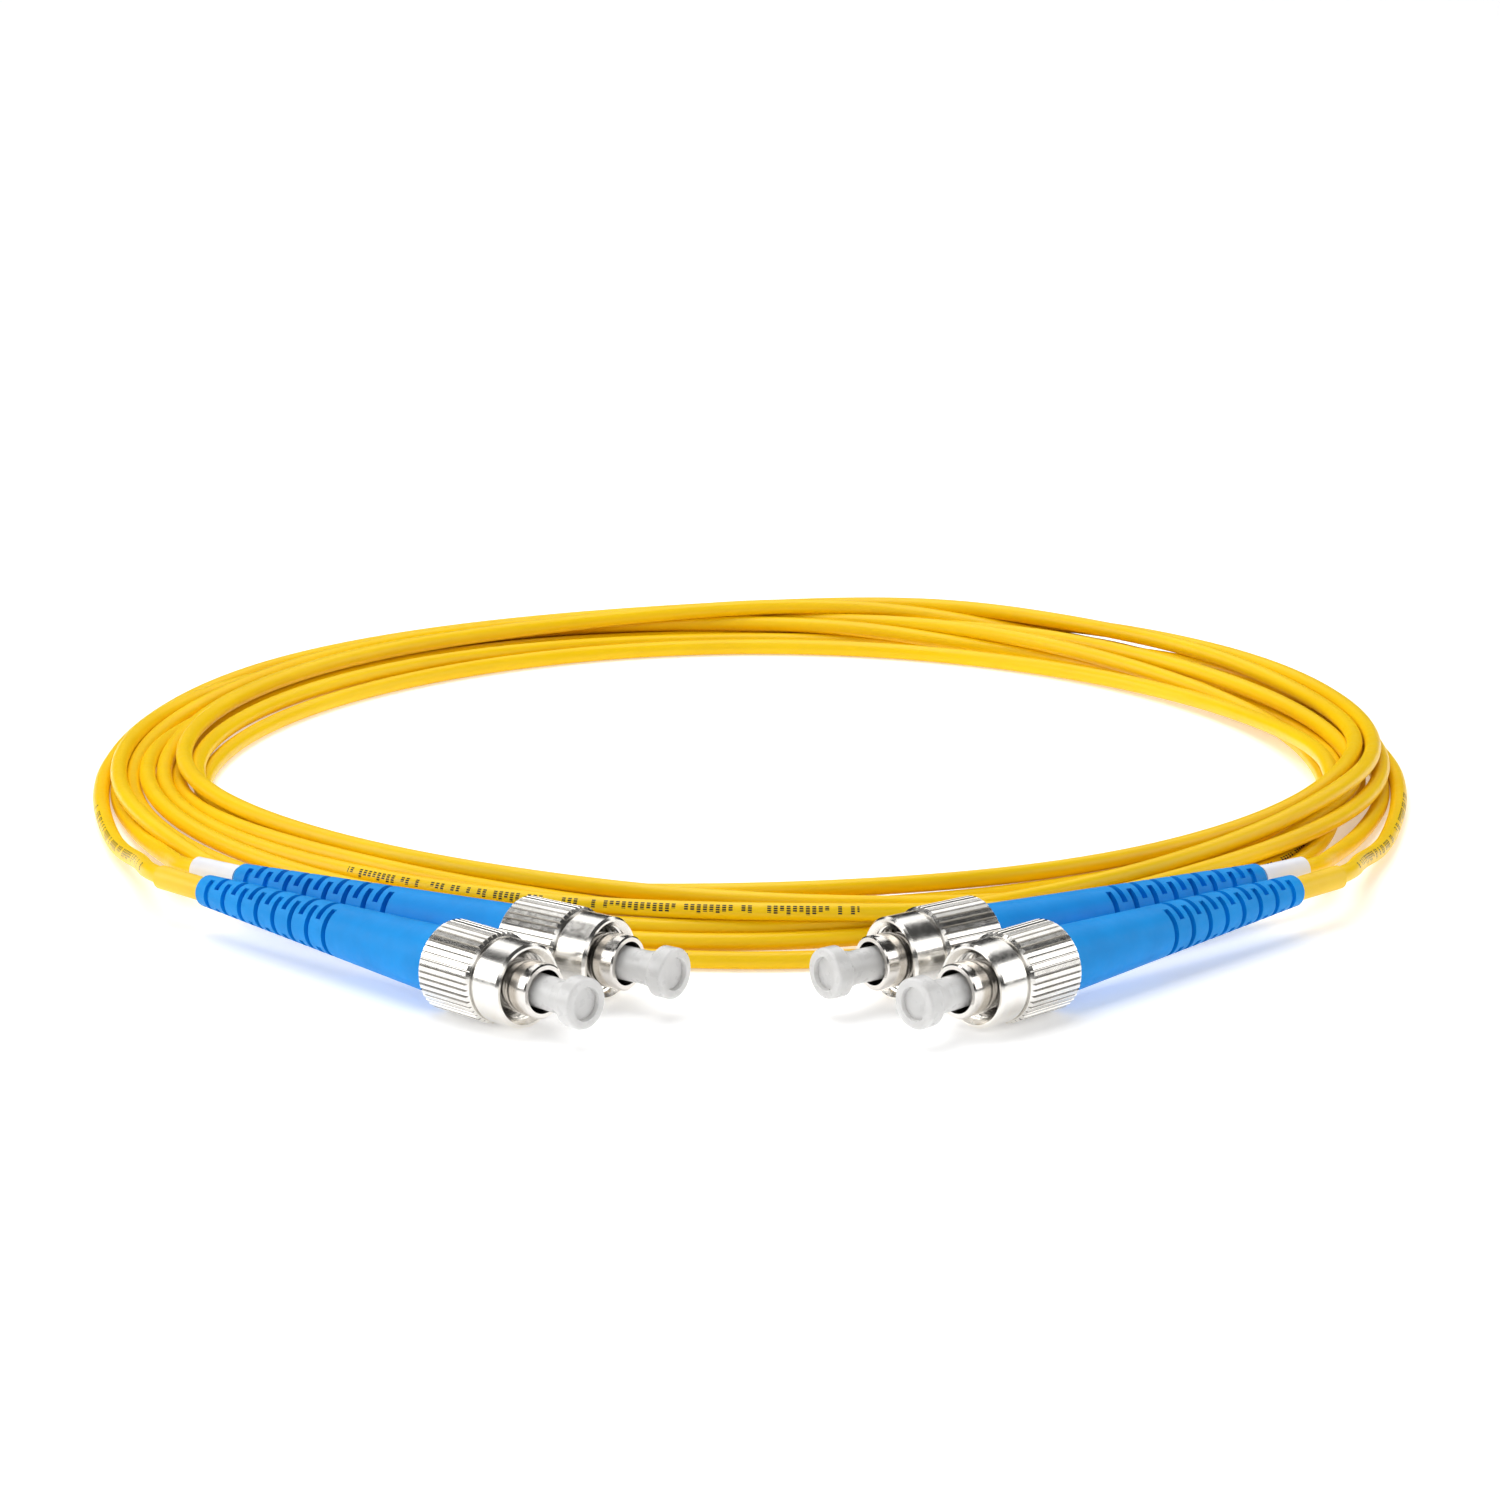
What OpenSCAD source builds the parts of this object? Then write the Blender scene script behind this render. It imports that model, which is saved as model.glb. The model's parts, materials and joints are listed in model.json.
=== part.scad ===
// Duplex fibre optic patch cord: two coiled cables with a threaded round
// connector on each of the four ends. Lengths are in millimetres.
// Each connector is drawn along +Z with its barrel's lip at zero and its tip
// pointing up, and place() then lays it down beside the coil.

/* [Cable] */
// Outside diameter of each cable's jacket
cable_d = 2; // [1.6:0.05:2.4]
// Diameter of the buffered fibre inside the jacket
buffer_d = 0.9; // [0.6:0.05:1.1]
// Wall of the sleeve behind each front boot
sleeve_wall = 0.3; // [0.2:0.05:0.5]
// Length of the sleeve behind each front boot
sleeve_len = 7.4; // [4:0.1:8.5]
// Wall of the marker label behind each rear boot
label_wall = 0.4; // [0.2:0.05:0.5]
// Length of the marker label behind each rear boot
label_len = 6.4; // [4:0.1:8]

/* [Coil] */
// Outside diameter of the coiled bundle
coil_outer_d = 157.6; // [130:0.2:190]
// Width of the bundle across its turns
coil_width = 12.8; // [8:0.2:16]
// Height of the bundle
coil_height = 8.4; // [6:0.1:11]
// Radius of the bundle's rounded corners
coil_corner_r = 2.4; // [1:0.1:3]

/* [Layout] */
// Angle that the front connectors turn away from the line across the coil
front_yaw = 45; // [43:1:48]
// Gap from the coil's edge to the axis of each front connector
front_reach = 9.5; // [9:0.1:12]
// How far the lip of each front connector stands past the tangent point
front_along = 57.6; // [55:0.2:60]
// Angle that the rear connectors turn away from the line across the coil
rear_yaw = 37; // [35:1:39]
// Gap from the coil's edge to the axis of each rear connector
rear_reach = 3.1; // [3:0.1:3.6]
// How far the lip of each rear connector stands past the tangent point
rear_along = 45.4; // [43:0.2:47]

/* [Ferrule] */
// Diameter of the ceramic ferrule
ferrule_d = 2.5; // [2:0.05:3]
// How far the ferrule stands out of the barrel
ferrule_proud = 1; // [0.4:0.1:2]
// Length of the ceramic ferrule
ferrule_len = 12.5; // [10.5:0.1:12.8]
// Wall of the metal tube behind the ferrule
flange_tube_wall = 0.25; // [0.15:0.01:0.3]
// Length of that tube behind its flange
flange_tube_len = 3.4; // [2.8:0.1:4.1]
// Thickness of the flange that the spring pushes on
flange_thick = 1.2; // [0.8:0.1:1.5]
// Distance that the ferrule can be pushed back
ferrule_travel = 1; // [0.5:0.1:1.2]
// Diameter of the spring's wire
spring_wire_d = 0.4; // [0.3:0.02:0.48]
// Number of turns in the spring
spring_turns = 5; // [3:1:7]

/* [Plug barrel] */
// Outside diameter of the barrel
barrel_d = 6; // [5.6:0.05:7.2]
// Wall of the barrel at its mouth
barrel_wall = 0.6; // [0.4:0.05:0.8]
// Depth of the barrel's front bore
barrel_bore_len = 8; // [7:0.1:8.2]
// Length of the full-size land at the barrel's mouth
land_len = 2.9; // [2:0.1:3.5]
// Width of the locating key on the barrel
key_w = 2; // [1.6:0.05:2.4]
// Height of the locating key above the barrel
key_h = 0.42; // [0.3:0.02:0.5]
// Length of the locating key
key_len = 4; // [3:0.1:5]
// Thickness of the inner wall that the ferrule's flange rests on
web_thick = 1; // [0.8:0.1:1.2]
// Wall of the spring chamber behind it
chamber_wall = 0.7; // [0.4:0.02:0.75]
// Height of the collar that the nut pulls on
collar_h = 0.55; // [0.4:0.05:0.7]
// Thickness of that collar
collar_thick = 1.4; // [1:0.1:1.7]

/* [Coupling nut] */
// Length of the whole nut
nut_len = 12.2; // [11.6:0.1:14.6]
// Distance from the barrel's lip back to the nut's front rim
nut_setback = 2.5; // [2:0.1:3]
// Length of the knurled grip
knurl_len = 7.9; // [7:0.1:9.4]
// Number of teeth in the knurl
knurl_teeth = 44; // [32:4:56]
// Depth of each knurl groove
knurl_depth = 0.26; // [0.15:0.01:0.32]
// Height of the knurl above the smooth front ring
knurl_rise = 0.35; // [0.3:0.01:0.5]
// Wall of the smooth front ring outside its thread
ring_wall = 0.65; // [0.5:0.05:0.9]
// Depth of the internal thread
thread_depth = 0.38; // [0.25:0.01:0.45]
// Pitch of the internal thread
thread_pitch = 0.75; // [0.6:0.05:1]
// Thickness of the nut's rear wall
nut_wall = 2.1; // [1.6:0.1:2.5]

/* [Dust cap] */
// Wall of the cap's tube round the ferrule
cap_wall = 0.58; // [0.4:0.02:0.65]
// How far the tube reaches into the barrel
cap_depth = 5; // [4:0.1:6]
// How far the head stands out around the tube
cap_rim = 0.95; // [0.6:0.05:1]
// How far the cap stands out of the barrel
cap_proud = 6.4; // [5.6:0.1:8]
// Thickness of the cap's head
cap_head_len = 2.1; // [1.6:0.1:2.6]

/* [Strain relief] */
// Wall of the boot at the nut
boot_wall = 0.35; // [0.3:0.05:0.6]
// Diameter of the boot where its slots begin
boot_mid_d = 5.9; // [5.6:0.05:7.1]
// Wall of the boot's tail round the cable
tail_wall = 0.75; // [0.6:0.05:1]
// Length of the smooth part of the boot
boot_smooth_len = 16.8; // [15.6:0.1:20.2]
// Length of the slotted part of the boot
boot_slotted_len = 23.4; // [19.4:0.1:28.2]
// Length of the plain cuff at the boot's tail
cuff_len = 1; // [0.6:0.1:2]
// Number of slot rings along the boot
slot_count = 15; // [9:1:16]
// Share of each slot's pitch that is cut away
slot_share = 0.5; // [0.3:0.05:0.6]
// Wall left round the cable under each slot
slot_floor = 0.4; // [0.2:0.05:0.45]

/* [Crimp] */
// Diameter of the stem that the crimp sleeve closes on
stem_d = 3.1; // [2.6:0.05:3.4]
// Length of that stem
stem_len = 7; // [5.8:0.1:7.2]
// Wall of the crimp sleeve
crimp_wall = 0.5; // [0.3:0.05:0.6]
// Length of the wide part of the crimp sleeve
crimp_len = 7.6; // [7.4:0.1:9.1]
// Length of the narrow part that grips the jacket
crimp_neck_len = 3.4; // [2.4:0.1:4]

/* [Hidden] */
ENDS = ["front_left", "front_right", "rear_left", "rear_right"];
SIDES = ["left", "right"];

ROUND = 96; // smoothness of every turned surface
EPS = 0.01; // overlap that keeps two cuts from sharing a face
RUN_GAP = 0.08; // radial gap of the nut on the barrel
FIT_GAP = 0.05; // radial gap between pieces that slide over each other
CAP_GAP = 0.02; // radial gap of the dust cap on the ferrule
FLANGE_GAP = 0.06; // radial gap of the ferrule's flange in its chamber
KEY_GAP = 0.2; // radial gap between the key and the nut's thread
YARN_GAP = 0.15; // radial room for the yarn between the stem and the crimp
WAIST_DROP = 0.2; // how far the barrel steps down behind the land at its mouth
SNAP_DEPTH = 0.25; // depth of the snap ring's groove
SNAP_THICK = 0.4; // thickness of the snap ring
END_GAP = 0.3; // gap along the axis between the nut and what stands behind it
COLLAR_PLAY = 0.2; // free play of the nut along the barrel
SHOULDER = 1; // thickness of the rear body's shoulder
SPIGOT = 2.2; // how far the rear body goes into the chamber
EDGE = 0.3; // small rounding and chamfer on outer edges

coil_outer_r = coil_outer_d / 2;
coil_inner_r = coil_outer_r - coil_width;

// radii round a connector's axis, from the ferrule outwards
ferrule_r = ferrule_d / 2;
barrel_r = barrel_d / 2;
barrel_bore_r = barrel_r - barrel_wall;
chamber_r = barrel_r - chamber_wall;
flange_tube_r = ferrule_r + flange_tube_wall;
flange_r = chamber_r - FLANGE_GAP;
spring_r = (chamber_r + flange_tube_r) / 2;
cap_bore_r = ferrule_r + CAP_GAP;
cap_tube_r = cap_bore_r + cap_wall;
cap_head_r = cap_tube_r + cap_rim;
collar_r = barrel_r + collar_h;
key_top_r = barrel_r + key_h;
thread_minor_r = key_top_r + KEY_GAP;
thread_major_r = thread_minor_r + thread_depth;
ring_r = thread_major_r + ring_wall;
knurl_r = ring_r + knurl_rise;
axis_h = knurl_r; // the nuts rest on the floor
snap_inner_r = barrel_r - SNAP_DEPTH;
snap_outer_r = barrel_r + SNAP_DEPTH + 0.15;
boot_bore_r = snap_outer_r + FIT_GAP;
boot_front_r = boot_bore_r + boot_wall;
stem_r = stem_d / 2;
crimp_bore_r = stem_r + YARN_GAP;
crimp_r = crimp_bore_r + crimp_wall;
jacket_bore_r = cable_d / 2 + FIT_GAP;
tail_r = jacket_bore_r + tail_wall;
slot_floor_r = jacket_bore_r + slot_floor;

// stations along a connector's axis, from the barrel's lip backwards
nut_front = -nut_setback;
nut_back = nut_front - nut_len;
knurl_front = nut_back + knurl_len;
collar_back = nut_back + nut_wall + COLLAR_PLAY;
collar_front = collar_back + collar_thick;
web_back = -barrel_bore_len - web_thick;
snap_front = nut_back - END_GAP;
snap_back = snap_front - SNAP_THICK;
flange_front = web_back - FIT_GAP;
flange_back = flange_front - flange_thick;
flange_end = flange_back - flange_tube_len;
ferrule_back = ferrule_proud - ferrule_len;
fibre_front = ferrule_back - ferrule_travel - END_GAP;
spigot_front = min(snap_back - 0.1, flange_end - ferrule_travel - END_GAP);
barrel_end = spigot_front - SPIGOT;
shoulder_back = barrel_end - SHOULDER;
stem_back = shoulder_back - stem_len;
crimp_back = shoulder_back - crimp_len;
crimp_end = crimp_back - crimp_neck_len;
jacket_start = crimp_back - 1.4;
boot_front = nut_back - END_GAP;
boot_mid = boot_front - boot_smooth_len;
boot_tail = boot_mid - boot_slotted_len;
slot_pitch = (boot_slotted_len - cuff_len) / slot_count;
sleeve_front = boot_tail - END_GAP;
lead_straight = boot_tail - 8.8; // the jacket runs straight to here

// the frame's origin is under the middle of the four connectors
function corner_reach(len, r, yaw) = (len - EDGE) * sin(yaw) + (r - EDGE) * cos(yaw) + EDGE;
front_y = -(coil_outer_r + front_reach) * cos(front_yaw) - front_along * sin(front_yaw);
rear_y = -(coil_outer_r + rear_reach) * cos(rear_yaw) - rear_along * sin(rear_yaw);
nearest_y = front_y - corner_reach(cap_proud, cap_head_r, front_yaw);
furthest_y = rear_y + corner_reach(-boot_tail, tail_r, rear_yaw);
ring_y = -(nearest_y + furthest_y) / 2;

function is_front(end) = end == "front_left" || end == "front_right";
function is_right(end) = end == "front_right" || end == "rear_right" || end == "right";
function yaw_of(end) = is_front(end) ? front_yaw : rear_yaw;
function reach_of(end) = coil_outer_r + (is_front(end) ? front_reach : rear_reach);
function along_of(end) = is_front(end) ? front_along : rear_along;
function key_angle(end) = is_front(end) ? 55 : 100;

// a point on the axis of a left-hand connector, measured from the coil's centre
function axis_point(end, station) = [
    -reach_of(end) * sin(yaw_of(end)) + (along_of(end) + station) * cos(yaw_of(end)),
    -reach_of(end) * cos(yaw_of(end)) - (along_of(end) + station) * sin(yaw_of(end)),
    axis_h
];

// free route of each left-hand lead, from its connector round to the coil: the
// angle about the coil's centre, the gap from the coil's edge to the cable's
// middle, and the gap under the cable
FRONT_ROUTE = [
    [-146.5, 4.6, 2.2],
    [-153.5, 2.7, 0.7],
    [-161.5, 0.9, 0.1],
    [-171, 0, 0.1],
    [-180, -1, 0.3]
];
REAR_ROUTE = [
    [-145, 1.3, 2.1],
    [-150, -0.7, 1.1],
    [-156, -1.8, 0.4]
];
RINGS_PER_SPAN = 2;
LEAD_SIDES = 8;

function beside_coil(p) = [
    (coil_outer_r + p[1]) * cos(p[0]), (coil_outer_r + p[1]) * sin(p[0]), cable_d / 2 + p[2]
];
function route_of(end) = concat(
    [axis_point(end, jacket_start), axis_point(end, lead_straight)],
    [for (p = is_front(end) ? FRONT_ROUTE : REAR_ROUTE) beside_coil(p)]
);

// Catmull-Rom curve through the points, leaving the first span straight
function curve_at(a, b, c, d, t) = 0.5 * (
    2 * b + (c - a) * t + (2 * a - 5 * b + 4 * c - d) * t * t + (3 * b - a - 3 * c + d) * t * t * t
);
function smooth_route(p) = concat(
    [p[0]],
    [for (i = [1:len(p) - 2])
        for (k = [0:RINGS_PER_SPAN - 1])
            curve_at(
                i == 1 ? p[1] - (p[1] - p[0]) / norm(p[1] - p[0]) * norm(p[2] - p[1]) : p[i - 1],
                p[i], p[i + 1], p[min(i + 2, len(p) - 1)], k / RINGS_PER_SPAN)],
    [p[len(p) - 1]]
);
function unit(v) = v / norm(v);
function tangent(p, i) = unit(p[min(i + 1, len(p) - 1)] - p[max(i - 1, 0)]);
function ring_points(centre, along, r, sides) =
    let (across = unit(cross(along, [0, 0, 1])), up = cross(across, along))
    [for (k = [0:sides - 1])
        centre + r * (cos(360 * k / sides) * across + sin(360 * k / sides) * up)];

// a closed tube swept along a list of centre points
module tube(centres, r, sides) {
    points = [for (i = [0:len(centres) - 1])
        each ring_points(centres[i], tangent(centres, i), r, sides)];
    last = (len(centres) - 1) * sides;
    skin = [for (i = [0:len(centres) - 2])
        for (k = [0:sides - 1])
            [i * sides + k, i * sides + (k + 1) % sides,
                (i + 1) * sides + (k + 1) % sides, (i + 1) * sides + k]];
    polyhedron(
        points = points,
        faces = concat(
            [[for (k = [sides - 1:-1:0]) k]],
            skin,
            [[for (k = [0:sides - 1]) last + k]]
        )
    );
}

function arc(cx, cy, r, from, to, steps = 4) =
    [for (k = [0:steps]) let (a = from + (to - from) * k / steps) [cx + r * cos(a), cy + r * sin(a)]];

module turned(profile) {
    rotate_extrude($fn = ROUND) polygon(profile);
}

// a plain sleeve on the cable, behind the boot
module sleeve(wall, len) {
    turned([
        [jacket_bore_r, sleeve_front - len], [jacket_bore_r + wall, sleeve_front - len],
        [jacket_bore_r + wall, sleeve_front], [jacket_bore_r, sleeve_front]
    ]);
}

// moves a connector's piece from its own axis to its place beside the coil
module place(end) {
    mirror([is_right(end) ? 1 : 0, 0, 0])
        translate(axis_point(is_front(end) ? "front_left" : "rear_left", 0) + [0, ring_y, 0])
            rotate([0, 90, -yaw_of(end)])
                children();
}

module dust_cap() {
    head_back = cap_proud - cap_head_len;
    recess_r = 0.62 * cap_head_r;
    color([0.92, 0.93, 0.94])
        turned(concat(
            [[0, head_back - 0.9], [cap_bore_r, head_back - 0.9], [cap_bore_r, -cap_depth]],
            [[cap_tube_r - 0.15, -cap_depth], [cap_tube_r, -cap_depth + 0.3]],
            [[cap_tube_r, head_back - 1.7], [cap_tube_r + 0.3, head_back - 0.2]],
            [[cap_head_r - 0.25, head_back], [cap_head_r, head_back + 0.3]],
            arc(cap_head_r - EDGE, cap_proud - EDGE, EDGE, 0, 90),
            [[recess_r + 0.12, cap_proud], [recess_r, cap_proud - 0.5], [0, cap_proud - 0.5]]
        ));
}

module knurl_outline() {
    step = 360 / knurl_teeth;
    polygon([for (i = [0:knurl_teeth - 1])
        for (p = [[-0.3, 0], [0.3, 0], [0.44, -knurl_depth], [0.56, -knurl_depth]])
            (knurl_r + p[1]) * [cos((i + p[0]) * step), sin((i + p[0]) * step)]]);
}

module nut_cavity() {
    hole_r = barrel_r + RUN_GAP;
    relief_r = thread_major_r + 0.1;
    mouth_r = thread_major_r + 0.15;
    mouth = nut_front - 0.5;
    turns = floor((nut_len - nut_wall - 5) / thread_pitch);
    relief = mouth - turns * thread_pitch;
    turned(concat(
        [[0, nut_back - 1], [hole_r, nut_back - 1], [hole_r, nut_back + nut_wall]],
        [[relief_r, nut_back + nut_wall], [relief_r, relief]],
        [for (i = [0:turns - 1])
            for (p = [[0, 0.08], [0, 0.2], [1, 0.52], [1, 0.68]])
                [thread_minor_r + p[0] * thread_depth, relief + (i + p[1]) * thread_pitch]],
        [[thread_minor_r, mouth], [mouth_r, nut_front], [mouth_r, nut_front + 1]],
        [[0, nut_front + 1]]
    ));
}

module coupling_nut() {
    neck_r = ring_r - 0.25;
    bevel = 0.35;
    color([0.78, 0.76, 0.72])
        difference() {
            union() {
                intersection() {
                    translate([0, 0, nut_back]) linear_extrude(knurl_len) knurl_outline();
                    turned([
                        [0, nut_back], [knurl_r - bevel, nut_back],
                        [knurl_r + EPS, nut_back + bevel], [knurl_r + EPS, knurl_front - bevel],
                        [knurl_r - bevel, knurl_front], [0, knurl_front]
                    ]);
                }
                turned([
                    [0, knurl_front - 1], [neck_r, knurl_front - 1], [neck_r, knurl_front + 0.4],
                    [ring_r, knurl_front + 0.6], [ring_r, nut_front - 0.3],
                    [ring_r - 0.25, nut_front], [0, nut_front]
                ]);
            }
            nut_cavity();
        }
}

module plug_barrel(end) {
    waist_r = barrel_r - WAIST_DROP;
    key_root_r = waist_r - 0.3;
    key_back = -land_len - 0.3 - key_len;
    color([0.74, 0.72, 0.68])
        difference() {
            union() {
                turned([
                    [0, barrel_end], [barrel_r, barrel_end], [barrel_r, snap_back],
                    [snap_inner_r, snap_back], [snap_inner_r, snap_front], [barrel_r, snap_front],
                    [barrel_r, collar_back], [collar_r, collar_back], [collar_r, collar_front],
                    [waist_r, collar_front], [waist_r, -land_len], [barrel_r, -land_len],
                    [barrel_r, -0.15], [barrel_r - 0.15, 0], [0, 0]
                ]);
                rotate([0, 0, key_angle(end)])
                    translate([key_root_r, -key_w / 2, key_back])
                        cube([key_top_r - key_root_r, key_w, key_len]);
            }
            translate([0, 0, -barrel_bore_len])
                cylinder(r = barrel_bore_r, h = barrel_bore_len + 1, $fn = ROUND);
            translate([0, 0, web_back - EPS])
                cylinder(r = ferrule_r + 0.35, h = web_thick + 1, $fn = ROUND);
            translate([0, 0, barrel_end - 1])
                cylinder(r = chamber_r, h = web_back - barrel_end + 1, $fn = ROUND);
        }
}

module snap_ring() {
    color([0.55, 0.56, 0.58])
        translate([0, 0, snap_back])
            rotate_extrude(angle = 300, $fn = ROUND)
                translate([snap_inner_r, 0]) square([snap_outer_r - snap_inner_r, SNAP_THICK]);
}

module ferrule() {
    color([0.96, 0.96, 0.94])
        turned([
            [0, ferrule_back], [ferrule_r, ferrule_back], [ferrule_r, ferrule_proud - 0.35],
            [ferrule_r - 0.3, ferrule_proud - 0.05], [ferrule_r - 0.6, ferrule_proud],
            [0, ferrule_proud]
        ]);
}

module ferrule_flange() {
    fibre_r = buffer_d / 2 + FIT_GAP;
    color([0.80, 0.78, 0.74])
        turned([
            [fibre_r, flange_end], [flange_tube_r, flange_end], [flange_tube_r, flange_back],
            [flange_r, flange_back], [flange_r, flange_front], [ferrule_r, flange_front],
            [ferrule_r, ferrule_back], [fibre_r, ferrule_back]
        ]);
}

module ferrule_spring() {
    wire_r = spring_wire_d / 2;
    front = flange_back - wire_r - 0.02;
    back = spigot_front + wire_r + 0.02;
    steps = spring_turns * 12;
    color([0.6, 0.6, 0.62])
        tube(
            [for (i = [0:steps])
                [spring_r * cos(i * 30), spring_r * sin(i * 30), back + (front - back) * i / steps]],
            wire_r, 6);
}

module rear_body() {
    bore_r = buffer_d / 2 + 0.15;
    color([0.72, 0.70, 0.66])
        turned([
            [bore_r, stem_back], [stem_r - 0.1, stem_back], [stem_r, stem_back + 0.2],
            [stem_r, shoulder_back], [barrel_r, shoulder_back], [barrel_r, barrel_end],
            [chamber_r, barrel_end], [chamber_r, spigot_front], [bore_r, spigot_front]
        ]);
}

module crimp_sleeve() {
    neck_r = jacket_bore_r + crimp_wall;
    color([0.70, 0.68, 0.62])
        turned([
            [jacket_bore_r, crimp_end], [neck_r, crimp_end], [neck_r, crimp_back],
            [crimp_r, crimp_back + 0.5], [crimp_r, shoulder_back], [crimp_bore_r, shoulder_back],
            [crimp_bore_r, crimp_back + 0.5], [jacket_bore_r, crimp_back]
        ]);
}

// one ring of two facing slots, cut down to the slot floor
module slot_ring(span) {
    for (start = [-span / 2, 180 - span / 2])
        rotate([0, 0, start])
            rotate_extrude(angle = span, $fn = ROUND)
                translate([slot_floor_r, 0]) square([boot_front_r, slot_share * slot_pitch]);
}

module boot_cavity() {
    wide_r = boot_bore_r;
    body_r = barrel_r + FIT_GAP;
    sleeve_r = crimp_r + FIT_GAP;
    turned([
        [0, boot_tail - 1], [jacket_bore_r, boot_tail - 1], [jacket_bore_r, crimp_end - 0.3],
        [sleeve_r, crimp_end + 0.3], [sleeve_r, shoulder_back - 0.2],
        [body_r, shoulder_back - 0.2], [body_r, snap_back - 0.2],
        [wide_r, snap_back - 0.2], [wide_r, boot_front + 1], [0, boot_front + 1]
    ]);
}

module boot() {
    color([0, 0.55, 0.93])
        difference() {
            turned(concat(
                [[0, boot_tail]],
                arc(tail_r - EDGE, boot_tail + EDGE, EDGE, -90, 0),
                [[boot_mid_d / 2, boot_mid], [boot_front_r, boot_front], [0, boot_front]]
            ));
            boot_cavity();
            for (i = [0:slot_count - 1])
                translate([0, 0, boot_mid - (i + slot_share) * slot_pitch])
                    rotate([0, 0, i % 2 == 0 ? 90 : 0])
                        slot_ring(i % 2 == 0 ? 136 : 112);
        }
}

module buffered_fibre() {
    color([0.95, 0.93, 0.85])
        translate([0, 0, jacket_start])
            cylinder(d = buffer_d, h = fibre_front - jacket_start, $fn = ROUND);
}

module cable_lead(end) {
    color([1, 0.82, 0.04])
        mirror([is_right(end) ? 1 : 0, 0, 0])
            translate([0, ring_y, 0])
                tube(smooth_route(route_of(end)), cable_d / 2, LEAD_SIDES);
}

module cable_coil() {
    inner = coil_inner_r + coil_corner_r;
    outer = coil_outer_r - coil_corner_r;
    top = coil_height - coil_corner_r;
    color([1, 0.80, 0.03])
        translate([0, ring_y, 0])
            rotate_extrude($fn = 180)
                polygon(concat(
                    arc(inner, coil_corner_r, coil_corner_r, 180, 270, 5),
                    arc(outer, coil_corner_r, coil_corner_r, 270, 360, 5),
                    arc(outer, top, coil_corner_r, 0, 90, 5),
                    arc(inner, top, coil_corner_r, 90, 180, 5)
                ));
}

module cable_sleeve() {
    color([1, 0.84, 0.12]) sleeve(sleeve_wall, sleeve_len);
}

module marker_label() {
    color([0.95, 0.95, 0.97]) sleeve(label_wall, label_len);
}

cable_coil();
for (end = ENDS) {
    place(end) dust_cap();
    place(end) coupling_nut();
    place(end) plug_barrel(end);
    place(end) snap_ring();
    place(end) ferrule();
    place(end) ferrule_flange();
    place(end) ferrule_spring();
    place(end) rear_body();
    place(end) crimp_sleeve();
    place(end) boot();
    place(end) buffered_fibre();
    cable_lead(end);
}
for (side = SIDES) {
    place(str("front_", side)) cable_sleeve();
    place(str("rear_", side)) marker_label();
}
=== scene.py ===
import json
import math

import bpy
import numpy as np
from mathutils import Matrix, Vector


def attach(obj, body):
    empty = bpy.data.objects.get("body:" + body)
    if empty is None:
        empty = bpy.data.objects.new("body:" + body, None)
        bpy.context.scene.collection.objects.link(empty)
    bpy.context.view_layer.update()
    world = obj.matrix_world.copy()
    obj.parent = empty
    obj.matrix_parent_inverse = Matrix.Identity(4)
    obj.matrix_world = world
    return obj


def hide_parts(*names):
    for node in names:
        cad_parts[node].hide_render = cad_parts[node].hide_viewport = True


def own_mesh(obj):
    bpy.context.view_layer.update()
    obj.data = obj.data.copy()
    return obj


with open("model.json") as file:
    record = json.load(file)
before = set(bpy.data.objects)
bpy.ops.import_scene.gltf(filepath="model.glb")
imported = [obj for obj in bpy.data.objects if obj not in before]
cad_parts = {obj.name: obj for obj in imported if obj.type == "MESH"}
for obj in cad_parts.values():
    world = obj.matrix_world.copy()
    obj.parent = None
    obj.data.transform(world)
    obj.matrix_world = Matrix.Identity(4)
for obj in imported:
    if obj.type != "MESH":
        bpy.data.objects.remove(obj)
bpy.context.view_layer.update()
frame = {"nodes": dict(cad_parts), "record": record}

# the middle of the coil, on the floor; part.scad puts the frame's origin between the connectors
COIL_MIDDLE = np.array([0.0, 0.0838705, 0.0])

# ---------------------------------------------------------------- camera
VIEW_DISTANCE = 0.765
VIEW_PITCH = math.radians(15)
VIEW_LENS_MM = 150.7
VIEW_SENSOR_MM = 36
VIEW_SHIFT = 35 / 1500


def make_camera():
    """The photograph's view: level with the coil's middle from side to side, and looking down on it."""
    data = bpy.data.cameras.new("view")
    data.lens = VIEW_LENS_MM
    data.sensor_width = VIEW_SENSOR_MM
    data.shift_y = VIEW_SHIFT
    data.clip_start = 0.01
    data.clip_end = 20
    camera = bpy.data.objects.new("view", data)
    away = Vector((0, -math.cos(VIEW_PITCH), math.sin(VIEW_PITCH)))
    camera.location = Vector(COIL_MIDDLE) + away * VIEW_DISTANCE
    camera.rotation_euler = (-away).to_track_quat("-Z", "Y").to_euler()
    bpy.context.scene.collection.objects.link(camera)
    bpy.context.scene.camera = camera


make_camera()

# ---------------------------------------------------------------- cords
# Two cables, each with a connector on both ends. The front pair of connectors
# is on cable one and the rear pair on cable two. The leads repeat the points of
# part.scad's routes, in metres, up to where they enter the coil.
MM = 1000  # millimetres in a metre; the turns are wound in millimetres
CABLE_D = 0.002
COIL_R = 0.0788
AXIS_HEIGHT = 0.005

# places along a connector's axis, from its barrel's lip
JACKET_START = -0.0277
LEAD_STRAIGHT = -0.064

# how each pair lies: its turn from the line across the coil in degrees, the distance of
# its axis from the coil's middle, and how far its lip stands past the tangent point
LAYOUT = {"front": (45, 0.0883, 0.0576), "rear": (37, 0.0819, 0.0454)}

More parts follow.
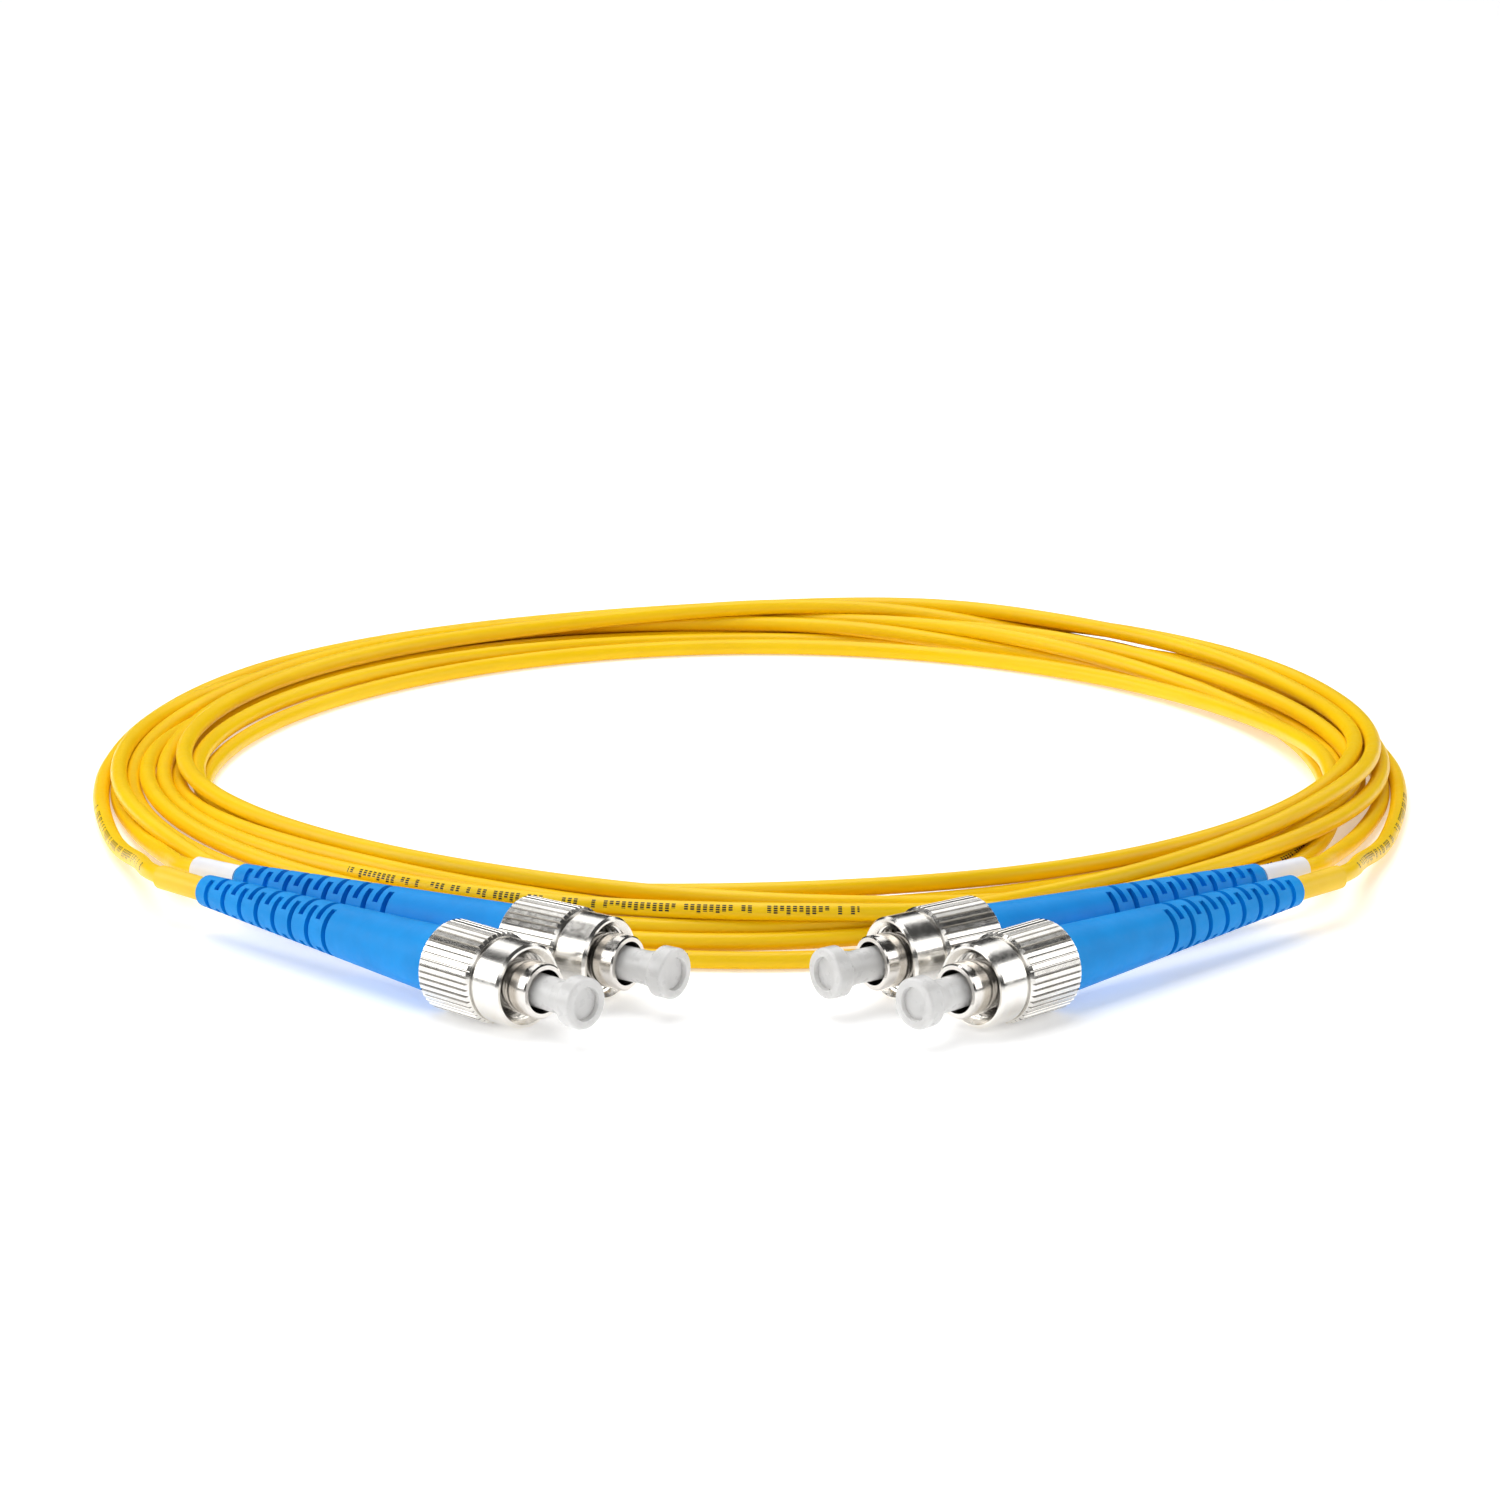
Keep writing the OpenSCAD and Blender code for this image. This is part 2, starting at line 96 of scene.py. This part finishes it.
# each left lead: the angle about the coil's middle, the gap from the coil's edge to the
# cable's middle, and the gap under the cable; the table of turns takes over from there
LEADS = {
    "front": (
        (-146.5, 0.0046, 0.0022),
        (-153.5, 0.0027, 0.0007),
        (-161.5, 0.0009, 0.0001),
        (-171.0, 0.0000, 0.0001),
    ),
    "rear": (
        (-145.0, 0.0013, 0.0021),
        (-150.0, -0.0007, 0.0011),
        (-156.0, -0.0018, 0.0004),
        (-163.0, -0.0023, 0.0001),
        (-171.5, -0.0021, 0.0000),
    ),
}

# where each pass round the coil lies at eight azimuths, in degrees: its distance from the
# coil's middle and its height, in mm; capitals are cable one's passes and small letters cable
# two's, in the order that the cable makes them
TURNS = {
    180: {"A": (78.7, 1.1), "a": (76.7, 1.0), "c": (76.6, 2.8), "C": (75.1, 1.5), "d": (73.9, 3.0),
          "D": (72.2, 1.8), "e": (70.6, 1.2), "E": (69.6, 3.4), "B": (68.0, 2.4), "b": (66.4, 1.0)},
    135: {"A": (77.4, 2.6), "a": (77.2, 1.0), "c": (75.3, 1.2), "C": (75.4, 3.4), "d": (73.4, 1.2),
          "D": (73.4, 3.6), "e": (71.4, 2.0), "E": (71.2, 4.0), "B": (66.8, 2.6), "b": (65.2, 1.0)},
    90: {"A": (77.0, 2.8), "a": (78.0, 1.0), "c": (75.9, 1.0), "C": (75.0, 2.8), "d": (73.8, 1.0),
         "D": (72.9, 2.8), "e": (71.7, 1.0), "E": (70.8, 2.8), "B": (69.6, 1.0), "b": (67.4, 1.0)},
    45: {"A": (75.6, 3.8), "B": (77.7, 3.2), "c": (76.6, 4.5), "E": (78.2, 1.0), "e": (76.1, 1.0),
         "a": (73.9, 1.4), "D": (71.6, 1.2), "d": (71.4, 3.2), "C": (69.2, 2.2), "b": (67.0, 1.0)},
    0: {"A": (74.6, 3.2), "B": (77.6, 2.8), "c": (76.6, 4.6), "E": (78.7, 1.1), "e": (76.7, 1.0),
        "a": (74.8, 1.1), "D": (72.7, 1.2), "d": (72.2, 3.2), "C": (70.6, 1.2), "b": (68.9, 2.3)},
    -45: {"A": (66.2, 4.7), "c": (68.8, 4.8), "B": (71.4, 3.9), "a": (67.4, 3.1), "D": (70.2, 2.2),
          "d": (72.4, 1.4), "C": (74.6, 2.2), "b": (76.6, 1.2)},
    -90: {"A": (69.8, 7.1), "a": (71.0, 5.2), "D": (72.6, 6.3), "d": (73.2, 3.8), "C": (74.6, 4.9),
          "c": (76.4, 4.1), "B": (77.4, 2.5), "b": (78.8, 1.0)},
    -135: {"D": (64.2, 5.7), "d": (66.4, 5.1), "C": (69.0, 4.2), "c": (71.6, 3.4), "B": (74.2, 2.5),
           "b": (76.6, 1.3), "A": (66.0, 3.1), "a": (68.2, 2.0)},
}
CABLES = (("front", "ABCDE"), ("rear", "abcde"))
SIDES = ("left", "right")
STATIONS_PER_TURN = 8
STEPS_PER_STATION = 9
SECTIONS = STATIONS_PER_TURN * STEPS_PER_STATION
LAST_STATIONS = 3  # the last pass is half a turn, so these stations are left out

# settling
SETTLE_ROUNDS = 700
LEAD_STEPS = 6  # each lead takes part over this many steps before its turns start
FIXED_STEPS = LEAD_STEPS + 2  # the steps at each end that stay where they are
SPACING_MM = 2.02
BOTTOM_HEIGHT_MM = CABLE_D / 2 * MM
TOP_HEIGHT_MM = 8.4
PUSH_SHARE = 0.4  # the share of a push that is made in one round
HOME_SHARE = 0.002  # the share of its way back to its first lay that a point goes in one round
BLUR_SHARE = 0.08  # how much of a plain average goes into each round of stiffness
LATER_ON_TOP = 0.15  # how far a push leans so that the later pass goes up, in mm
STEP_KERNEL = np.array([1, 3, 4, 3, 1]) / 12

# the finished centreline
BEND_STEPS = 6
LINE_STEP = 0.0016
BEND_SPREAD = 0.0042
JACKET_SIDES = 16


def smooth_line(points, steps):
    """Catmull-Rom through every point but the first and last, which only give directions."""
    p = np.asarray(points, float)
    t = (np.arange(steps) / steps)[:, None]
    spans = []
    for a, b, c, d in zip(p[:-3], p[1:-2], p[2:-1], p[3:]):
        square = 2 * a - 5 * b + 4 * c - d
        cubic = 3 * b - a - 3 * c + d
        spans.append(0.5 * (2 * b + (c - a) * t + square * t**2 + cubic * t**3))
    return np.vstack(spans + [p[-2:-1]])


def first_lay(pair, passes):
    """A cable's distance from the coil's middle and its height, in mm, at every step of its sweep."""
    rows = []
    for i in range(len(passes) * STATIONS_PER_TURN - LAST_STATIONS):
        azimuth = 180 - 360 // STATIONS_PER_TURN * (i % STATIONS_PER_TURN)
        rows.append(TURNS[azimuth][passes[i // STATIONS_PER_TURN]])
    rows = np.array(rows)
    before = 2 * rows[0] - rows[1]
    after = 2 * rows[-1] - rows[-2]
    turns = smooth_line([before, *rows, after], STEPS_PER_STATION)
    azimuth, gap, lift = np.array(LEADS[pair])[::-1].T
    steps = -180 + np.arange(LEAD_STEPS, 0, -1) * 360 / SECTIONS
    radius = np.interp(steps, azimuth, COIL_R + gap)
    height = np.interp(steps, azimuth, CABLE_D / 2 + lift)
    lead = np.stack([radius, height], axis=1) * MM
    return np.vstack([lead, turns, lead[::-1]])


def smoothed(p):
    """One round of stiffness: a small share of each point goes to its neighbours."""
    out = p.copy()
    out[2:-2] = (-p[:-4] + 4 * p[1:-3] + 10 * p[2:-2] + 4 * p[3:-1] - p[4:]) / 16
    out = (p + out) / 2
    middle = out.copy()
    middle[1:-1] = out[1:-1] / 2 + (out[:-2] + out[2:]) / 4
    return (1 - BLUR_SHARE) * out + BLUR_SHARE * middle


def neighbours(strands):
    """Every pair of passes that share a cross-section: two strands and the steps between them."""
    most = max(len(s) for s in strands) // SECTIONS + 1
    for one in range(len(strands)):
        for two in range(one, len(strands)):
            for turns in range(1 if one == two else -most, most + 1):
                yield one, two, turns * SECTIONS


def push_apart(strands):
    """How far each point moves so that passes which share a place clear each other.

    The direction is averaged along the strands, so that two that cross change places by going
    over and under. Where nothing else decides it, the later pass goes on top.
    """
    push = [np.zeros_like(s) for s in strands]
    for one, two, shift in neighbours(strands):
        first = max(0, -shift)
        last = min(len(strands[one]), len(strands[two]) - shift)
        if last - first < len(STEP_KERNEL):
            continue
        apart = strands[two][first + shift : last + shift] - strands[one][first:last]
        later = shift > 0 or (shift == 0 and two > one)
        way = np.stack([np.convolve(apart[:, k], STEP_KERNEL, "same") for k in (0, 1)], axis=1)
        way[:, 1] += LATER_ON_TOP if later else -LATER_ON_TOP
        way /= np.linalg.norm(way, axis=1)[:, None]
        along = (apart * way).sum(axis=1)
        lacking = np.clip(SPACING_MM**2 - (apart**2).sum(axis=1), 0, None)
        step = (np.sqrt(along**2 + lacking) - along)[:, None] * way / 2
        push[one][first:last] -= step
        push[two][first + shift : last + shift] += step
    return push


def settle(strands):
    """Moves the passes apart wherever two of them share a place, and keeps each one smooth."""
    target = [s.copy() for s in strands]
    now = [s.copy() for s in strands]
    for _ in range(SETTLE_ROUNDS):
        for c, push in enumerate(push_apart(now)):
            p = smoothed(now[c] + PUSH_SHARE * push + HOME_SHARE * (target[c] - now[c]))
            p[:, 1] = np.clip(p[:, 1], BOTTOM_HEIGHT_MM, TOP_HEIGHT_MM)
            p[:FIXED_STEPS] = target[c][:FIXED_STEPS]
            p[-FIXED_STEPS:] = target[c][-FIXED_STEPS:]
            now[c] = p
    return [s[LEAD_STEPS:-LEAD_STEPS] for s in now]


def around_coil(azimuth, radius, height):
    """Points about the coil's middle, from angles in degrees, and distances and heights in metres."""
    a = np.radians(azimuth)
    return COIL_MIDDLE + np.stack([radius * np.cos(a), radius * np.sin(a), height], axis=-1)


def axis_point(pair, station):
    """A point on the axis of a left connector, station metres in front of its barrel's lip."""
    yaw, reach, along = LAYOUT[pair]
    s = math.sin(math.radians(yaw))
    c = math.cos(math.radians(yaw))
    a = along + station
    return COIL_MIDDLE + np.array([-reach * s + a * c, -reach * c - a * s, AXIS_HEIGHT])


def lead_points(pair):
    """The points that a left lead passes through on its way into the coil."""
    azimuth, gap, lift = np.array(LEADS[pair]).T
    return around_coil(azimuth, COIL_R + gap, CABLE_D / 2 + lift)


def distance_along(line):
    """How far along the line each of its points is, in metres."""
    return np.concatenate([[0], np.cumsum(np.linalg.norm(np.diff(line, axis=0), axis=1))])


def stiffened(line):
    """The same line in even steps, with every bend spread over a cable's natural length."""
    travelled = distance_along(line)
    even = np.linspace(0, travelled[-1], round(travelled[-1] / LINE_STEP) + 1)
    points = np.stack([np.interp(even, travelled, line[:, k]) for k in range(3)], axis=1)
    reach = math.ceil(3 * BEND_SPREAD / LINE_STEP)
    kernel = np.exp(-((np.arange(-reach, reach + 1) * LINE_STEP / BEND_SPREAD) ** 2) / 2)
    kernel = kernel / kernel.sum()
    before = points[0] + (points[0] - points[1]) * np.arange(reach, 0, -1)[:, None]
    after = points[-1] + (points[-1] - points[-2]) * np.arange(1, reach + 1)[:, None]
    padded = np.vstack([before, points, after])
    return np.stack([np.convolve(padded[:, k], kernel, "valid") for k in range(3)], axis=1)


def cable_line(pair, strand):
    """The whole centreline of one cable, from one crimp to the other."""
    mirror = np.array([-1, 1, 1])
    start = axis_point(pair, JACKET_START)
    straight = axis_point(pair, LEAD_STRAIGHT)
    lead = lead_points(pair)
    ahead = (straight - start) / np.linalg.norm(straight - start)
    back = lead[0] - 2 * ahead * np.linalg.norm(lead[0] - straight)
    azimuth = 180 - np.arange(len(strand)) * 360 / SECTIONS
    turns = around_coil(azimuth, strand[:, 0] / MM, strand[:, 1] / MM)
    way_in = np.array([back, straight, *lead])
    way_out = way_in[::-1] * mirror
    bend = smooth_line([*way_in, *turns, *way_out], BEND_STEPS)
    return stiffened(np.vstack([start, bend, start * mirror]))


# stretches of each cable that carry a line of print, as shares of its length
PRINTED = {
    "front": ((0.018, 0.036), (0.566, 0.582), (0.600, 0.628), (0.962, 0.982)),
    "rear": ((0.394, 0.399),),
}


def tube_mesh(name, line, radius, sides, printed):
    """A closed tube along a line, with its length and its turn in a UV map, in metres and in turns."""
    ahead = np.gradient(line, axis=0)
    ahead /= np.linalg.norm(ahead, axis=1)[:, None]
    across = np.cross(ahead, [0, 0, 1])
    across /= np.linalg.norm(across, axis=1)[:, None]
    up = np.cross(across, ahead)
    angle = np.arange(sides) * 2 * math.pi / sides
    ring = np.cos(angle)[:, None] * across[:, None] + np.sin(angle)[:, None] * up[:, None]
    points = (line[:, None] + radius * ring).reshape(-1, 3)
    n = len(line)
    faces = []
    for i in range(n - 1):
        here = i * sides
        there = here + sides
        for k in range(sides):
            after = (k + 1) % sides
            faces.append((here + k, here + after, there + after, there + k))
    faces.append(tuple(range(sides - 1, -1, -1)))
    faces.append(tuple((n - 1) * sides + k for k in range(sides)))
    mesh = bpy.data.meshes.new(name)
    mesh.from_pydata(points.tolist(), [], faces)
    travelled = distance_along(line)
    uv = mesh.uv_layers.new(name="jacket")
    corner = 0
    for i in range(n - 1):
        for k in range(sides):
            for row, turn in ((i, k), (i, k + 1), (i + 1, k + 1), (i + 1, k)):
                uv.data[corner].uv = (travelled[row], turn / sides)
                corner += 1
    share = np.repeat(travelled / travelled[-1], sides)
    ink = sum((share > low) & (share < high) for low, high in printed).astype(float)
    mesh.attributes.new("printed", "FLOAT", "POINT").data.foreach_set("value", ink)
    mesh.shade_smooth()
    mesh.update()
    return mesh, travelled[-1]


def make_cords():
    """Both cables, wound and attached to the body named cord."""
    strands = settle([first_lay(pair, passes) for pair, passes in CABLES])
    made = []
    for (pair, _), strand in zip(CABLES, strands):
        line = cable_line(pair, strand)
        name = f"cable_{pair}"
        mesh, length = tube_mesh(name, line, CABLE_D / 2, JACKET_SIDES, PRINTED[pair])
        cable = bpy.data.objects.new(name, mesh)
        bpy.context.scene.collection.objects.link(cable)
        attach(cable, "cord")
        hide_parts(*[f"cable_lead_{pair}_{side}" for side in SIDES])
        made.append(cable)
    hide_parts("cable_coil")
    return made


cables = make_cords()


# ---------------------------------------------------------------- materials
# where most of a noise texture's values lie
NOISE_LOW = 0.3
NOISE_HIGH = 0.7


class Finish:
    """A material under construction: a Principled shader and short ways to add nodes to it.

    A name such as i0 means the node's input of that number, and an underscore in any other
    name stands for a space.
    """

    def __init__(self, name, **constants):
        self.material = bpy.data.materials.new(name)
        self.material.use_nodes = True
        self.tree = self.material.node_tree
        self.shader = self.tree.nodes["Principled BSDF"]
        for socket, value in constants.items():
            self.shader.inputs[socket.replace("_", " ")].default_value = value

    def node(self, kind, settings=None, **inputs):
        made = self.tree.nodes.new(kind)
        for key, value in (settings or {}).items():
            setattr(made, key, value)
        for key, value in inputs.items():
            numbered = key[0] == "i" and key[1:].isdigit()
            socket = made.inputs[int(key[1:]) if numbered else key.replace("_", " ")]
            self.feed(socket, value)
        return made

    def feed(self, socket, value):
        """Links an output to a socket, or sets the socket's own value."""
        if isinstance(value, bpy.types.NodeSocket):
            self.tree.links.new(value, socket)
        else:
            socket.default_value = value

    def place(self):
        return self.node("ShaderNodeTexCoord").outputs["Object"]

    def noise(self, scale, detail=3.0, where=None):
        made = self.node("ShaderNodeTexNoise", Scale=scale, Detail=detail, Vector=where or self.place())
        return made.outputs["Fac"]

    def maths(self, operation, a, b=0.0, c=0.0):
        return self.node("ShaderNodeMath", {"operation": operation}, i0=a, i1=b, i2=c).outputs[0]

    def between(self, value, low, high):
        """Spreads a noise value over low to high."""
        made = self.node(
            "ShaderNodeMapRange",
            {"clamp": True},
            Value=value,
            From_Min=NOISE_LOW,
            From_Max=NOISE_HIGH,
            To_Min=low,
            To_Max=high,
        )
        return made.outputs["Result"]

    def blend(self, share, one, other):
        made = self.node("ShaderNodeMix", {"data_type": "RGBA"}, Factor=share)
        for colour, socket in ((one, made.inputs[6]), (other, made.inputs[7])):
            self.feed(socket, (*colour, 1) if isinstance(colour, tuple) else colour)
        return made.outputs[2]

    def drive(self, socket, value):
        self.tree.links.new(value, self.shader.inputs[socket])

    def bump(self, height, strength, distance):
        made = self.node("ShaderNodeBump", Height=height, Strength=strength, Distance=distance)
        self.drive("Normal", made.outputs["Normal"])


TICK_PITCH = 0.0007  # from one tick of the print to the next, along the jacket
TICK_SHARE = 0.62  # the inked share of that pitch
BLANK_CHANCE = 0.33  # the share of ticks that are left out
PRINT_TURN = 0.34  # where the line of print lies round the jacket, in turns
DOT_TURN = 0.042  # the height of one dot, in turns
DOT_SHARE = 0.72  # the inked share of that height
MORE_DOTS = 3.4  # how many dots the tallest tick has above its first


def printed_ticks(f):
    """A share that is one on the ink of a dotted line of plain ticks along a jacket."""
    jacket_map = f.node("ShaderNodeUVMap", {"uv_map": "jacket"}).outputs["UV"]
    where = f.node("ShaderNodeSeparateXYZ", Vector=jacket_map)
    along = where.outputs["X"]
    turn = where.outputs["Y"]
    cell = f.maths("DIVIDE", along, TICK_PITCH)
    number = f.maths("FLOOR", cell)
    white_noise = f.node("ShaderNodeTexWhiteNoise", {"noise_dimensions": "1D"}, W=number)
    chance = white_noise.outputs["Value"]
    inked = f.maths("LESS_THAN", f.maths("FRACT", cell), TICK_SHARE)
    mark = f.maths("MULTIPLY", inked, f.maths("GREATER_THAN", chance, BLANK_CHANCE))
    # each tick is a column of two to four whole dots, with part of another above them
    row = f.maths("DIVIDE", f.maths("SUBTRACT", turn, PRINT_TURN), DOT_TURN)
    tall = f.maths("LESS_THAN", row, f.maths("MULTIPLY_ADD", chance, MORE_DOTS, 1.0))
    rows = f.maths("MULTIPLY", f.maths("GREATER_THAN", row, 0.0), tall)
    dots = f.maths("LESS_THAN", f.maths("FRACT", row), DOT_SHARE)
    column = f.maths("MULTIPLY", mark, f.maths("MULTIPLY", rows, dots))
    printed = f.node("ShaderNodeAttribute", {"attribute_name": "printed"}).outputs["Fac"]
    return f.maths("MULTIPLY", column, f.maths("GREATER_THAN", printed, 0.5))


def jacket(name, printed):
    """Smooth yellow cable jacket, with or without its line of print."""
    f = Finish(name, IOR=1.45, Specular_IOR_Level=0.32)
    tone = f.between(f.noise(60.0), 0.0, 1.0)
    yellow = f.blend(tone, (0.91, 0.565, 0.0), (0.97, 0.635, 0.001))
    ink = (0.02, 0.018, 0.015)
    f.drive("Base Color", f.blend(printed_ticks(f), yellow, ink) if printed else yellow)
    f.drive("Roughness", f.between(f.noise(900.0), 0.30, 0.42))
    f.bump(f.noise(2500.0, detail=4.0), strength=0.15, distance=0.00003)
    return f.material


def plastic(name, dark, light, rough, grain, depth=0.00004, **constants):
    """Moulded plastic: two close tones in soft clouds, uneven gloss and a fine moulded grain."""
    f = Finish(name, **constants)
    f.drive("Base Color", f.blend(f.between(f.noise(220.0), 0.0, 1.0), dark, light))
    f.drive("Roughness", f.between(f.noise(1200.0), rough - 0.05, rough + 0.06))
    f.bump(f.noise(grain, detail=5.0), strength=0.25, distance=depth)
    return f.material


PAINTED_SHADE_REACH = 0.00035  # painted shade: the base colour darkens in grooves narrower than this
PAINTED_SHADE_SHARE = 0.3  # how bright the painted shade in those grooves is, next to the metal's darker tone


def metal(name, dark, light, rough, scratch=0.00001):
    """Plated or bare metal: faint tone changes, painted shade in narrow grooves, uneven polish and fine
    scratches.
    """
    f = Finish(name, Metallic=1.0)
    tone = f.blend(f.between(f.noise(400.0), 0.0, 1.0), dark, light)
    nearby = {"samples": 6, "only_local": True}
    # painted shade: ambient occlusion darkens the base colour in narrow grooves and recesses
    painted_shade = f.node("ShaderNodeAmbientOcclusion", nearby, Distance=PAINTED_SHADE_REACH)
    painted_shade_colour = tuple(PAINTED_SHADE_SHARE * c for c in dark)
    f.drive("Base Color", f.blend(painted_shade.outputs["AO"], painted_shade_colour, tone))
    f.drive("Roughness", f.between(f.noise(1500.0, detail=6.0), rough - 0.03, rough + 0.06))
    f.bump(f.noise(5000.0, detail=3.0), strength=0.05, distance=scratch)
    return f.material


def frosted(name):
    """Soft translucent plastic, milky inside, with a satin skin."""
    f = Finish(
        name,
        IOR=1.42,
        Subsurface_Weight=0.7,
        Subsurface_Radius=(1, 1, 1),
        Subsurface_Scale=0.0012,
        Coat_Weight=0.35,
        Coat_Roughness=0.12,
    )
    clouds = f.between(f.noise(300.0), 0.0, 1.0)
    f.drive("Base Color", f.blend(clouds, (0.64, 0.635, 0.625), (0.71, 0.705, 0.695)))
    f.drive("Roughness", f.between(f.noise(900.0), 0.24, 0.36))
    return f.material


# the finish of each kind of piece; a cable's CAD stand-ins don't show, and take the plain jacket
FINISHES = {
    "cable": jacket("printed_jacket", True),
    "cable_sleeve": plastic("sleeve_film", (0.90, 0.56, 0.004), (0.96, 0.62, 0.01), 0.42, 2600.0),
    "marker_label": plastic("label_film", (0.82, 0.83, 0.90), (0.90, 0.91, 0.95), 0.40, 2200.0),
    "boot": plastic(
        "boot_plastic", (0.0, 0.255, 0.70), (0.0, 0.300, 0.80), 0.48, 2400.0, Specular_IOR_Level=0.22
    ),
    "dust_cap": frosted("frosted_cap"),
    "coupling_nut": metal("nut_nickel", (0.80, 0.775, 0.73), (0.92, 0.90, 0.86), 0.19),
    "plug_barrel": metal("barrel_nickel", (0.70, 0.67, 0.63), (0.82, 0.79, 0.75), 0.15),
    "ferrule_flange": metal("flange_nickel", (0.62, 0.60, 0.56), (0.74, 0.72, 0.68), 0.22),
    "rear_body": metal("body_nickel", (0.60, 0.58, 0.54), (0.70, 0.68, 0.64), 0.25),
    "crimp_sleeve": metal("crimp_metal", (0.60, 0.58, 0.52), (0.70, 0.68, 0.62), 0.38, 0.00003),
    "snap_ring": metal("ring_steel", (0.40, 0.40, 0.42), (0.50, 0.50, 0.52), 0.30),
    "ferrule_spring": metal("spring_wire", (0.42, 0.42, 0.44), (0.52, 0.52, 0.55), 0.28),
    "ferrule": plastic(
        "ferrule_ceramic", (0.86, 0.86, 0.83), (0.92, 0.92, 0.90), 0.12, 3000.0, 0.000005
    ),
    "buffered_fibre": plastic("fibre_buffer", (0.85, 0.83, 0.72), (0.92, 0.90, 0.82), 0.40, 2600.0),
    "cable_coil": jacket("plain_jacket", False),
}
FINISHES["cable_lead"] = FINISHES["cable_coil"]


def finish_for(name):
    """The finish of a CAD node, which is named after its kind of piece and its place."""
    kinds = [kind for kind in FINISHES if name.startswith(kind + "_") or name == kind]
    return FINISHES[max(kinds, key=len)]


def dress(obj, material):
    """Gives every material slot of a piece the one material."""
    if not obj.material_slots:
        obj.data.materials.append(material)
    for held in obj.material_slots:
        held.material = material


for node_name, node_object in frame["nodes"].items():
    dress(node_object, finish_for(node_name))
for cable in cables:
    dress(cable, FINISHES["cable"])


# ---------------------------------------------------------------- ferrule springs
# A copy of each spring's CAD node stands in for it, unchanged.


def make_springs():
    """The visible ferrule springs, each copied from a CAD node that a joint in the record lists as
    deforming.
    """
    for joint in frame["record"]["behaviour"]["joints"]:
        for soft in joint.get("deforming_nodes", []):
            node = frame["nodes"][soft["node"]]
            name = soft["node"].replace("ferrule_spring", "spring")
            spring = bpy.data.objects.new(name, node.data.copy())
            bpy.context.scene.collection.objects.link(spring)
            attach(spring, "cord")
            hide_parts(soft["node"])
            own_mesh(spring)


make_springs()


# ---------------------------------------------------------------- floor and light
FLOOR_SIZE = 12.0
FLOOR_DROP = 0.00005


def make_floor():
    """A plain pale floor with a faint glow of its own, so that it reads white as in the photograph."""
    mesh = bpy.data.meshes.new("floor")
    h = FLOOR_SIZE / 2
    mesh.from_pydata([(-h, -h, 0), (h, -h, 0), (h, h, 0), (-h, h, 0)], [], [(0, 1, 2, 3)])
    floor = bpy.data.objects.new("floor", mesh)
    floor.location = (0, 0, -FLOOR_DROP)
    bpy.context.scene.collection.objects.link(floor)
    f = Finish(
        "floor_paper",
        Roughness=0.8,
        Specular_IOR_Level=0.2,
        Emission_Color=(1, 1, 1, 1),
        Emission_Strength=0.32,
    )
    f.drive("Base Color", f.blend(f.noise(2.0), (0.90, 0.90, 0.90), (0.93, 0.93, 0.93)))
    mesh.materials.append(f.material)


# each softbox: its name, place, size and power; all of them face the same point
SOFTBOXES = (
    ("top", (-0.15, 0.15, 0.9), (0.9, 0.7), 6.5),
    ("left", (-0.95, 0.0, 0.40), (0.9, 0.6), 5.0),
    ("right", (0.95, 0.0, 0.40), (0.9, 0.6), 3.6),
    ("front", (0.0, -1.1, 0.75), (1.5, 0.5), 3.5),
    ("back", (0.0, 1.1, 0.95), (2.4, 0.6), 6.0),
)
LIT_POINT = Vector((0, 0.03, 0))

# the studio is dim towards the horizon, so that metal has something dark to mirror; its
# strength grows between two heights, where the horizon is 0 and straight up is 1
SKY_LOW = 0.26
SKY_HIGH = 0.62
SKY_LOW_HEIGHT = 0.05
SKY_HIGH_HEIGHT = 0.6


def make_lights():
    """The softboxes, and a pale studio round them."""
    for name, place, size, power in SOFTBOXES:
        data = bpy.data.lights.new(name, "AREA")
        data.shape = "RECTANGLE"
        data.size = size[0]
        data.size_y = size[1]
        data.energy = power
        light = bpy.data.objects.new(name, data)
        light.location = place
        aim = LIT_POINT - Vector(place)
        light.rotation_euler = aim.to_track_quat("-Z", "Y").to_euler()
        bpy.context.scene.collection.objects.link(light)
    world = bpy.data.worlds.new("studio")
    world.use_nodes = True
    tree = world.node_tree
    upward = tree.nodes.new("ShaderNodeSeparateXYZ")
    direction = tree.nodes.new("ShaderNodeTexCoord")
    tree.links.new(direction.outputs["Generated"], upward.inputs[0])
    sky = tree.nodes.new("ShaderNodeMapRange")
    sky.inputs["From Min"].default_value = SKY_LOW_HEIGHT
    sky.inputs["From Max"].default_value = SKY_HIGH_HEIGHT
    sky.inputs["To Min"].default_value = SKY_LOW
    sky.inputs["To Max"].default_value = SKY_HIGH
    tree.links.new(upward.outputs["Z"], sky.inputs["Value"])
    tree.links.new(sky.outputs["Result"], tree.nodes["Background"].inputs["Strength"])
    bpy.context.scene.world = world
    bpy.context.scene.view_settings.view_transform = "Standard"


make_floor()
make_lights()
